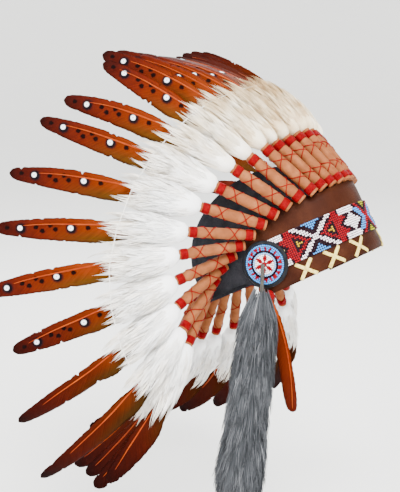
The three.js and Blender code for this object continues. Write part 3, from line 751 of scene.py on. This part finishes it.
def spine(k, side):
    """Returns a function that gives place, along, face and across at lengths s, turned by degrees."""
    normal = outward(RING, ANGLE[k], side)
    lean_out = float(normal @ heading(k, side, np.array(0.0)))
    heel = max(0, WRAP["stub"] * lean_out - WRAP["radius"] * (1 - math.sqrt(1 - lean_out ** 2)))
    stand = 0.0
    if ANGLE[k] < STAND["band_end"]:
        aside = smooth_step(ANGLE[k], STAND["start"], STAND["stop"])
        stand = STAND["brow"] + (STAND["side"] - STAND["brow"]) * aside
    marks = np.arange(0, LENGTH[k] + 3 * STEP, STEP)
    steps = heading(k, side, marks[:-1] + STEP / 2) * STEP
    foot = on_head(RING, ANGLE[k], BINDING[k], side) + (stand + heel) * normal
    places = foot + np.vstack([np.zeros(3), np.cumsum(steps, 0)])

    def at(s, degrees=0.0):
        s = np.asarray(s, float)
        along = heading(k, side, s)
        place = np.stack([np.interp(s, marks, places[:, i]) for i in range(3)], -1)
        place = place + along * np.minimum(s, 0)[..., None]
        face = unit(normal - along * (along @ normal)[..., None])
        across = np.cross(face, along)
        t = np.radians(np.asarray(degrees, float))[..., None] * side
        return place, along, face * np.cos(t) + across * np.sin(t), across * np.cos(t) - face * np.sin(t)
    return at


CROWN = [("centre", 0, 1)] + [(f"{word}_{k:02d}", k, side) for word, side in (("right", 1), ("left", -1))
                              for k in range(1, len(FEATHERS))]
SPINES = {(k, side): spine(k, side) for _, k, side in CROWN}
SPINES[(0, -1)] = SPINES[(0, 1)]
NODES = [f"feather_{name}" for name, _, _ in CROWN]
print(len(CROWN), "crown feathers")


def carried(at, s, offsets, degrees=0.0):
    """Rings along a spine: s is (rings,), offsets (rings, points, 2) across and along the face."""
    place, _, face, across = at(s, degrees)
    return place[:, None] + offsets[..., :1] * across[:, None] + offsets[..., 1:] * face[:, None]

# %% [markdown]
# ## Wraps
# A strip of tan leather is rolled round each quill and its fluff's root. Rolled hide is never
# a perfect tube: it is nipped under the floss bands and swells a little between them, and its
# open ends show a small rolled lip.

# %% Wraps, bands and crossed threads
WRAP_LINE = np.array([  # mm along the wrap, share of the rolled radius
    (-6.2, 0.62), (-6.35, 0.86), (-5.9, 1.0), (-4.4, 0.99), (-3.6, 0.9), (0, 0.9), (3.6, 0.9),
    (4.6, 0.98), (9, 1.03), (18, 1.05), (28, 1.05), (38, 1.05), (47, 1.03), (50.8, 0.98), (51.7, 0.9),
    (55.2, 0.9), (58.9, 0.9), (59.8, 0.98), (61.1, 0.99), (61.6, 0.88), (61.4, 0.7)])
BAND_LINE = np.array([  # the same for a band of floss, from its middle
    (-3.7, 0.8), (-3.6, 0.98), (-3.2, 1.05), (-2, 1.07), (0, 1.075), (2, 1.07), (3.2, 1.05),
    (3.6, 0.98), (3.7, 0.8)])
CROSSED = dict(start=3.0, length=49.2, radius=0.5, turns=2)
circle = turns(20)
s, lip = WRAP_LINE.T
band_s, band_r = BAND_LINE.T
share = np.linspace(0, 1, 46)
thread_s = CROSSED["start"] + CROSSED["length"] * share
wraps, floss, threads = [], [], []
for name, k, side in CROWN:
    at = SPINES[(k, side)]
    lump = 1 + 0.025 * np.sin(2 * circle + rng.uniform(0, 6))
    lump = lump + 0.02 * np.sin(s / 7 + rng.uniform(0, 6))[:, None]
    rolled = WRAP["radius"] * np.interp(k, [5, 9], [0.93, 0.86])
    wraps.append(carried(at, s, disc(rolled * lip[:, None] * lump * 0.98, circle)))
    for centre in (0.0, WRAP["length"]):
        floss.append(carried(at, band_s + centre, disc(rolled * band_r[:, None], circle)))
    for way in (1, -1):
        spun = way * np.pi * (2 * CROSSED["turns"] * share - 1) + np.pi / 2
        place, _, face, across = at(thread_s)
        out = np.cos(spun)[:, None] * across + np.sin(spun)[:, None] * face
        radius = rolled * (1.03 + 0.03 * (way > 0)) + 0.25
        threads.append(tube(place + radius * out, CROSSED["radius"], out))

piece("leather_wraps", lofted(seated(np.stack(wraps))), wrap_leather, NODES)
along_mm = np.tile(np.concatenate([np.repeat(band_s, len(circle)), band_s[[0, -1]]]), len(floss))
piece("floss_bands", lofted(seated(np.stack(floss))), red_floss, NODES, {"along_mm": along_mm})
piece("crossed_threads", lofted(seated(np.stack(threads))), thin_red, NODES)

# %% [markdown]
# ## Vanes and shafts
# The vane is a thin, bowed blade with the shaft off its middle: the web towards the brow is
# narrow, the other wide. Its outline is full past the fluff, tapers slowly and ends blunt, and
# here and there the barbs part in a notch. Each feather keeps its own small differences.

# %% Vane shapes
FLUFF = dict(width=18.0, depth=13.0, room=0.56)
VANE = dict(half=12.4, wide=3.4, camber=1.6, thickness=0.5, root=118.0, shaft=-3.8)
PLAIN_FROM = 12      # feathers from here on have no painted spots
NAPE_SHADE = np.array([(10, 1.0), (11, 0.72), (13, 0.42)])      # feather, share of full brightness; the darker webs towards the nape are painted shade
OUTLINE = np.array([  # share of the way to the tip, share of the half width
    (0, 0.5), (0.12, 0.8), (0.3, 1.0), (0.5, 0.97), (0.7, 0.84), (0.86, 0.66), (0.94, 0.54), (0.98, 0.38),
    (1, 0.08)])
SECTION = np.concatenate([np.linspace(-1, 1, 10), np.linspace(1, -1, 10)[1:-1]])   # out, and back behind
FRONT = np.concatenate([np.ones(10), np.zeros(8)])
LENS = np.where(FRONT > 0, 1, -1) * (1 - np.abs(SECTION) ** 6)


def shaft_place(k, s):
    """How far the shaft lies off the blade's line: 3.8 mm to the narrow side by the fluff, easing
    back towards the middle near the tip."""
    t = (s - VANE["root"]) / (LENGTH[k] - VANE["root"])
    return VANE["shaft"] * smooth_step(t, -0.1, 0.12) * (1 - 0.7 * smooth_step(t, 0.55, 1.0))


def turned(k, s):
    """How far a blade has turned about its shaft, in degrees: all its turn lies in the fluff."""
    return TWIST[k] * smooth_step(s, 134, 168)


def vane_shape(k, side):
    """Rings of one blade: half width times the outline, pushed to the wide side, bowed by the
    square of the distance from the shaft, with the edge roughened and cut by a few notches."""
    t = 1 - (1 - np.linspace(0, 1, 84)) ** 1.25
    s = VANE["root"] + (LENGTH[k] - VANE["root"]) * t
    full = VANE["half"] * np.interp(t, *OUTLINE.T) * rng.uniform(0.94, 1.04)
    edge = 1 + rng.normal(0, 0.018, (len(t), 2))
    for notch, which in zip(rng.uniform(0.35, 0.93, 4), (0, 1, 1, 0)):
        edge[:, which] -= rng.uniform(0.1, 0.28) * np.exp(-((t - notch) / 0.008) ** 2)
    push = VANE["wide"] * np.clip(1.25 - 1.25 * t, 0, 1)
    narrow, wide = push - full * edge[:, 0], push + full * edge[:, 1]
    u = narrow[:, None] + (wide - narrow)[:, None] * (SECTION + 1) / 2
    bow = -VANE["camber"] * (u / VANE["half"]) ** 2 + 0.5 * np.sin(s[:, None] / 17 + u / 9)
    offsets = np.stack([side * u, bow + VANE["thickness"] / 2 * LENS], -1)
    uv = np.stack(np.broadcast_arrays(u - shaft_place(k, s)[:, None], (LENGTH[k] - s)[:, None]), -1)
    return carried(SPINES[(k, side)], s, offsets, turned(k, s)), uv


def blade(name, rings, uv, web, node, painted, depth):
    """A web as one piece; its map and its marks go on to the two end points too."""
    uv = uv.reshape(-1, 2)
    front = np.concatenate([np.tile(FRONT, len(rings)), [0, 0]]) * painted
    marks = {"front": front, "depth": np.full(len(front), depth)}
    piece(name, lofted(rings), web, [node], marks, np.vstack([uv, uv[:1], uv[-1:]]))


quills = []
for name, k, side in CROWN:
    rings, uv = vane_shape(k, side)
    uv = uv + rng.uniform(-0.8, 0.8, 2)
    # painted shade: the webs towards the nape are darkened, times a small random tone of each feather's own
    depth = np.interp(k, *NAPE_SHADE.T) * rng.uniform(0.9, 1.08)
    blade(f"vane_{name}", seated(rings), uv, vane_web, f"feather_{name}", k < PLAIN_FROM, depth)
    end = LENGTH[k] - 14
    s = np.linspace(58, end, 34)
    offsets = disc(np.interp(s, [58, 118, 160, end], [1.9, 1.1, 0.85, 0.2])[:, None], turns(6))
    offsets[..., 0] += side * shaft_place(k, s)[:, None]
    quills.append(carried(SPINES[(k, side)], s, offsets, turned(k, s)))
piece("quill_shafts", lofted(seated(np.stack(quills))), quill, NODES)

# %% [markdown]
# ## Fluff
# Each feather's fluff is many fine barbs gathered in pointed locks over a soft core. A strand is
# a three-sided bow from its root near the shaft, out to the fluff's envelope, and on to the
# point of its lock. The envelope shrinks where the neighbours stand close.

# %% Strands
STRAND_POINTS = 10      # three stations of three points, and the tip


def strands(root, middle, tip, radius):
    """Tapered three-sided strands on quadratic curves, (1-t)^2 root + 2t(1-t) middle + t^2 tip,
    at three stations and a point. root, middle and tip are (n, 3); radius is (n,)."""
    count = len(root)
    t = np.array([0.0, 0.38, 0.74])[:, None, None]
    line = (1 - t) ** 2 * root + 2 * t * (1 - t) * middle + t ** 2 * tip
    run = unit((1 - t) * (middle - root) + t * (tip - middle))
    side = unit(np.cross(run, rng.normal(0, 1, (1, count, 3))))
    over = np.cross(run, side)
    spin = turns(3)
    size = radius[None, :, None] * np.array([0.7, 1.0, 0.7])[:, None, None]
    rings = line[:, :, None] + size[..., None] * (np.cos(spin)[:, None] * side[:, :, None]
                                                  + np.sin(spin)[:, None] * over[:, :, None])
    points = np.concatenate([rings.transpose(1, 0, 2, 3).reshape(count, 9, 3), tip[:, None]], 1)
    i = np.arange(3)
    j = (i + 1) % 3
    walls = np.concatenate([np.stack([b + i, b + j, b + 3 + j, b + 3 + i], -1) for b in (0, 3)])
    ends = np.concatenate([np.stack([6 + i, 6 + j, np.full(3, 9)], -1), [[2, 1, 0]]])
    step = STRAND_POINTS * np.arange(count)[:, None, None]
    return points.reshape(-1, 3), [(walls + step).reshape(-1, 4), (ends + step).reshape(-1, 3)]


def joined(*shapes):
    """Several shapes as one, their face numbers shifted past the points before them."""
    starts = np.cumsum([0] + [len(p) for p, _ in shapes[:-1]])
    return (np.concatenate([p for p, _ in shapes]),
            [f + start for (_, faces), start in zip(shapes, starts) for f in faces])

# %% Fluff shapes
PROFILE = np.array([  # mm along the feather, share of the fluff's full size
    (60, 0.4), (61.5, 0.62), (65, 0.84), (71, 0.97), (80, 1.0), (106, 1.0), (122, 0.96), (140, 0.84),
    (156, 0.6)])


def fluff_room(k, side, s):
    """Half width and depth of the envelope: the profile times the full size, with the width kept
    to about half the room beside the nearer neighbour."""
    place = SPINES[(k, side)](s)[0]
    near = [SPINES[(abs(j), side if j > 0 else -side)] for j in (k - 1, k + 1) if j < len(FEATHERS)]
    gaps = np.stack([np.linalg.norm(other(s)[0] - place, axis=-1) for other in near])
    room = np.minimum(gaps.min(0) * FLUFF["room"], FLUFF["width"])
    shape = np.interp(s, *PROFILE.T)
    return room * shape, FLUFF["depth"] * shape


LOCKS, COVERING, BARBS = 52, 7, 12
FACE_ON = 1.57      # the angle round the shaft at which the face looks


def fluff_shape(k, side):
    """A lumpy core that thins out over the vane, and its strands. Locks leave the shaft between
    61 and 112 mm, spread round it by the golden angle, and reach 26 to 38 mm on; a few more lie
    low over the vane's face, half way out to the envelope. The barbs of one lock share its
    point. Returns the shape and each point's warmth."""
    at = SPINES[(k, side)]
    core_s = np.linspace(60.2, 130, 18)
    width, depth = fluff_room(k, side, core_s)
    turn = turns(16)
    ridge = 0.8 + 0.05 * np.sin(5 * turn + core_s[:, None] / 9)
    ridge = ridge * (1 - 0.9 * smooth_step(core_s, 90, 130))[:, None]
    core = lofted(carried(at, core_s, disc(ridge, turn) * np.stack([width, depth], -1)[:, None]))
    lock = np.arange(LOCKS + COVERING)
    over = lock >= LOCKS
    s0 = np.where(over, 94 + 2.6 * (lock - LOCKS), 61 + 51 * (lock + 0.5) / LOCKS)
    reach = rng.uniform(26, 38, len(lock))
    phi = np.where(over, FACE_ON + 0.9 * np.sin(2.4 * lock), GOLDEN_ANGLE * lock)
    phi = phi + rng.normal(0, 0.25, len(lock))
    bent = rng.normal(0, 0.1, len(lock))
    low = np.where(over, 0.55, 1.0)
    which = np.repeat(lock, BARBS)
    n = len(which)
    s_root = np.maximum(60.5, s0[which] + rng.normal(0, 2.0, n))
    s_tip = (s0 + reach)[which] + rng.normal(0, 2.4, n)
    s_mid = s_root + 0.4 * (s_tip - s_root)
    aim = phi[which] + rng.normal(0, 0.26, n)
    fan = (phi + bent)[which] + rng.normal(0, 0.06, n)

    def shell(s, angle, share):
        """Points on the envelope, or a share of it, at lengths and angles round the shaft."""
        place, _, face, across = at(s)
        w, d = fluff_room(k, side, s)
        u, v = share * w * np.cos(angle), share * d * np.sin(angle)
        return place + u[:, None] * across + v[:, None] * face

    root = shell(s_root, aim, 0.6 * low[which])
    middle = shell(s_mid, aim, rng.uniform(0.96, 1.14, n) * low[which])
    tip = shell(s_tip, fan, (rng.uniform(0.92, 1.08, len(lock)) * low)[which])
    hairs = strands(root, middle, tip, rng.uniform(0.28, 0.5, n))
    warm = np.clip(1.1 - k / 7, 0.0, 1.0)
    by_lock = warm + rng.uniform(0, 0.2, len(lock))[which] + 0.16 * smooth_step(s_tip, 118, 148)
    warmth = np.concatenate([np.full(len(core[0]), warm), np.repeat(by_lock, STRAND_POINTS)])
    return joined(core, hairs), warmth


for name, k, side in CROWN:
    (points, faces), warmth = fluff_shape(k, side)
    piece(f"fluff_{name}", (seated(points), faces), down, [f"feather_{name}"], {"warmth": warmth})

# %% [markdown]
# ## Spacing thread
# One white thread runs through all the fluffs and holds the feathers at an even spread. It goes
# straight from feather to feather on their outer side: sunk in the front fluffs, over the others.

# %% Spacing thread
THREAD = dict(at=129.0, radius=0.4, sunk_until=9)
order = [(k, 1) for k in range(len(FEATHERS) - 1, 0, -1)] + [(k, -1) for k in range(len(FEATHERS))]
knots = []
for k, side in order:
    s = np.array([THREAD["at"]])
    place, _, face, _ = SPINES[(k, side)](s)
    depth = fluff_room(k, side, s)[1] * (0.6 if k < THREAD["sunk_until"] else 1.06)
    knots.append((place + face * depth)[0])
knots = np.array(knots)
t = np.linspace(0, len(knots) - 1, 6 * len(knots))
line = np.stack([np.interp(t, np.arange(len(knots)), knots[:, i]) for i in range(3)], -1)
run = unit(np.gradient(line, axis=0))
out = unit(line * np.array([1, 1, 0]))
out = unit(out - run * (out * run).sum(-1, keepdims=True))
piece("spacing_thread", lofted(seated(tube(line, THREAD["radius"], out))), white_thread)

# %% [markdown]
# ## Fur drop
# A strip of long-haired pelt hangs from a thong at the right temple. The core carries the weight
# of the shape; its hairs fall nearly straight, in locks that part and lie over one another.

# %% Fur drop
FUR = dict(length=262.0, width=43.0, depth=21.0, lead=5.0, drift=30.0)
FUR_ROWS = np.array([  # share of the length, shares of width and depth
    (0.125, 0.42, 0.3), (0.16, 0.72, 0.68), (0.27, 0.92, 0.95), (0.45, 0.97, 1.0), (0.65, 1.02, 1.0),
    (0.86, 1.2, 0.96), (0.95, 0.94, 0.74), (1.0, 0.44, 0.36)])
knot = seated(over_rosette(0, 1, ROSETTE["lift"] + 2 * ROSETTE["thickness"] + 0.3 * 4, 1))


def fur_point(t, angle, share):
    """A point of the pelt: t of the way down, round its section, at a share of its size. The
    middle line drifts back as t to the power 1.2."""
    t, angle, share = np.broadcast_arrays(t, angle, share)
    width = FUR["width"] / 2 * np.interp(t, *FUR_ROWS[:, :2].T)
    deep = np.interp(t, *FUR_ROWS[:, [0, 2]].T)
    x = knot[0] - 0.6 - FUR["depth"] / 2 * deep * (1 + share * np.sin(angle))
    y = knot[1] - FUR["lead"] * deep + FUR["drift"] * np.maximum(t, 0) ** 1.2
    return np.stack([x, y + share * width * np.cos(angle), knot[2] - FUR["length"] * t], -1)


t = np.linspace(0.128, 0.985, 40)[:, None]
angle = turns(28)
size = 0.84 - 0.4 * smooth_step(0.22 - t, 0, 0.1) + 0.05 * np.sin(7 * angle + 30 * t)
core = lofted(fur_point(t, angle, size))
FUR_LOCKS, HAIRS = 330, 19
lock = np.arange(FUR_LOCKS)
lock_t = 0.1 + 0.815 * ((lock + 0.5) / FUR_LOCKS) ** 1.25
lock_angle = GOLDEN_ANGLE * lock + rng.normal(0, 0.2, FUR_LOCKS)
lock_shade = rng.uniform(0.3, 0.66, FUR_LOCKS)
which = np.repeat(lock, HAIRS)
n = len(which)
t0 = lock_t[which] + rng.normal(0, 0.006, n)
a0 = lock_angle[which] + rng.normal(0, 0.13, n)
t1 = np.minimum(t0 + rng.uniform(0.1, 0.15, n), 1.035 + rng.normal(0, 0.004, n))
hairs = strands(fur_point(t0, a0, 0.8), fur_point((t0 + t1) / 2, a0, rng.uniform(0.98, 1.18, n)),
                fur_point(t1, lock_angle[which] + rng.normal(0, 0.09, n), rng.uniform(0.92, 1.22, n)),
                rng.uniform(0.2, 0.42, n))
by_hair = np.clip(lock_shade[which] + rng.normal(0, 0.15, n), 0, 1)
shade = np.concatenate([np.full(len(core[0]), 0.3), np.repeat(by_hair, STRAND_POINTS)])
piece("fur_pelt", joined(core, hairs), fur_hair, ["fur_drop_right"], {"shade": shade})

t = np.linspace(0, 0.15, 14)
line = knot + np.stack([-0.9 - 3 * np.sin(t * 9), -4 * t, -FUR["length"] * t], -1)
turn = turns(10)
ring = np.stack([0.8 * np.sin(turn), 2.1 * np.cos(turn), 0 * turn], -1)
piece("fur_thong", lofted(line[:, None] + ring), thong_leather, ["fur_drop_right"])

# %% [markdown]
# ## Hackle
# A single orange hackle hangs beside the fur. A ball of red floss hides its knot; below it the
# blade widens slowly and ends bluntly, on a bright shaft.

# %% Hackle
HACKLE = dict(length=120.0, forward=26.0, ball=4.0)
head = seated(over_rosette(-6, -ROSETTE["leather"] - 1.2, ROSETTE["lift"] + 3, 1))


def hackle_point(down_mm, u, v):
    """A point of the hackle: so far down its line, u towards the nape and v away from the head."""
    down_mm, u, v = np.broadcast_arrays(np.asarray(down_mm, float), u, v)
    swing = HACKLE["forward"] * down_mm / HACKLE["length"] + 2.5 * np.sin(np.pi * down_mm / HACKLE["length"])
    return np.stack([head[0] - v, head[1] - swing + u, head[2] - down_mm], -1)


down_mm = np.linspace(9, HACKLE["length"], 64)[:, None]
half = np.interp(down_mm, [9, 14, 26, 56, 92, 112, 118, 120], [1.4, 4.2, 6.8, 8.2, 8.0, 6.6, 4.8, 1.6])
half = half * (1 + rng.normal(0, 0.03, down_mm.shape))
u = half * SECTION + 2.2 * (1 - down_mm / HACKLE["length"])
rings = hackle_point(down_mm, u, -1.2 * (u / 9) ** 2 + 0.22 * LENS)
uv = np.stack(np.broadcast_arrays(u, HACKLE["length"] - down_mm), -1)
blade("hackle_blade", rings, uv, hackle_web, "drop_feather_right", True, 1.0)

down_mm = np.linspace(6, HACKLE["length"] - 4, 30)[:, None]
ring = disc(np.interp(down_mm, [6, HACKLE["length"]], [1.0, 0.3]), turns(6))
off_middle = -4.6 * np.sin(np.pi * (down_mm - 6) / HACKLE["length"])
shaft = hackle_point(down_mm, off_middle + ring[..., 0], 0.3 + ring[..., 1])
piece("hackle_shaft", lofted(shaft), quill, ["drop_feather_right"])

t = np.linspace(0.04, 0.96, 14)[:, None] * np.pi
ball_mm = 5 - 5 * np.cos(t)
ring = disc(HACKLE["ball"] * np.sin(t), turns(20))
ball = lofted(hackle_point(ball_mm, ring[..., 0], ring[..., 1]))
ball_mm = np.concatenate([np.repeat(ball_mm, 20), [0, 10]])
piece("hackle_floss_ball", ball, red_floss, ["drop_feather_right"], {"along_mm": ball_mm})

# %% [markdown]
# ## Floor and light
# The floor is a wide pale bowl, flat in the middle and rising far away, so that every view has
# the same plain ground. Three large soft lamps and an even sky light the piece, the strongest
# lamp from the front.

# %% Floor
low = cad_box[0][2] / MM
radius = np.array([0, 900, 2200, 3000, 3500, 3900, 4150, 4300])[:, None]
rise_mm = np.array([0, 0, 0, 60, 300, 800, 1600, 3200])[:, None] + low - 60
ring = disc(radius, turns(72))
floor_points = np.dstack([ring, np.broadcast_to(rise_mm, ring.shape[:2])]).reshape(-1, 3)
i = np.arange(72)
quads = np.concatenate([np.stack([b + i, b + (i + 1) % 72, b + 72 + (i + 1) % 72, b + 72 + i], -1)[:, ::-1]
                        for b in 72 * np.arange(len(radius) - 1)])
floor_mesh = bpy.data.meshes.new("floor")
floor_mesh.from_pydata((floor_points * MM).tolist(), [], quads.tolist())
floor_mesh.polygons.foreach_set("use_smooth", np.ones(len(floor_mesh.polygons), bool))
floor = bpy.data.objects.new("floor", floor_mesh)
bpy.context.scene.collection.objects.link(floor)
paper, tree, shader = finish("pale_paper", Roughness=0.95)
shader.inputs["Base Color"].default_value = hex_colour("f4f4f2")
floor_mesh.materials.append(paper)

# %% Light
world = bpy.data.worlds.new("studio")
bpy.context.scene.world = world
world.use_nodes = True
world.node_tree.nodes["Background"].inputs["Color"].default_value = (1, 1, 1, 1)
world.node_tree.nodes["Background"].inputs["Strength"].default_value = 1.25
LAMPS = (  # name, place in metres, side of the square in metres, watts
    ("key", (-1.2, -1.2, 1.9), 1.4, 200), ("fill", (-1.9, 0.9, 0.9), 1.6, 70),
    ("rim", (1.4, 0.9, 1.6), 1.2, 60))
for name, where, size, watts in LAMPS:
    lamp = bpy.data.objects.new(name, bpy.data.lights.new(name, "AREA"))
    lamp.data.size, lamp.data.energy = size, watts
    bpy.context.scene.collection.objects.link(lamp)
    aim = unit(np.array(where) - np.array([0, 0.08, 0.02]))
    lamp.matrix_world = facing(aim, where)
print("lamps:", [name for name, *_ in LAMPS])
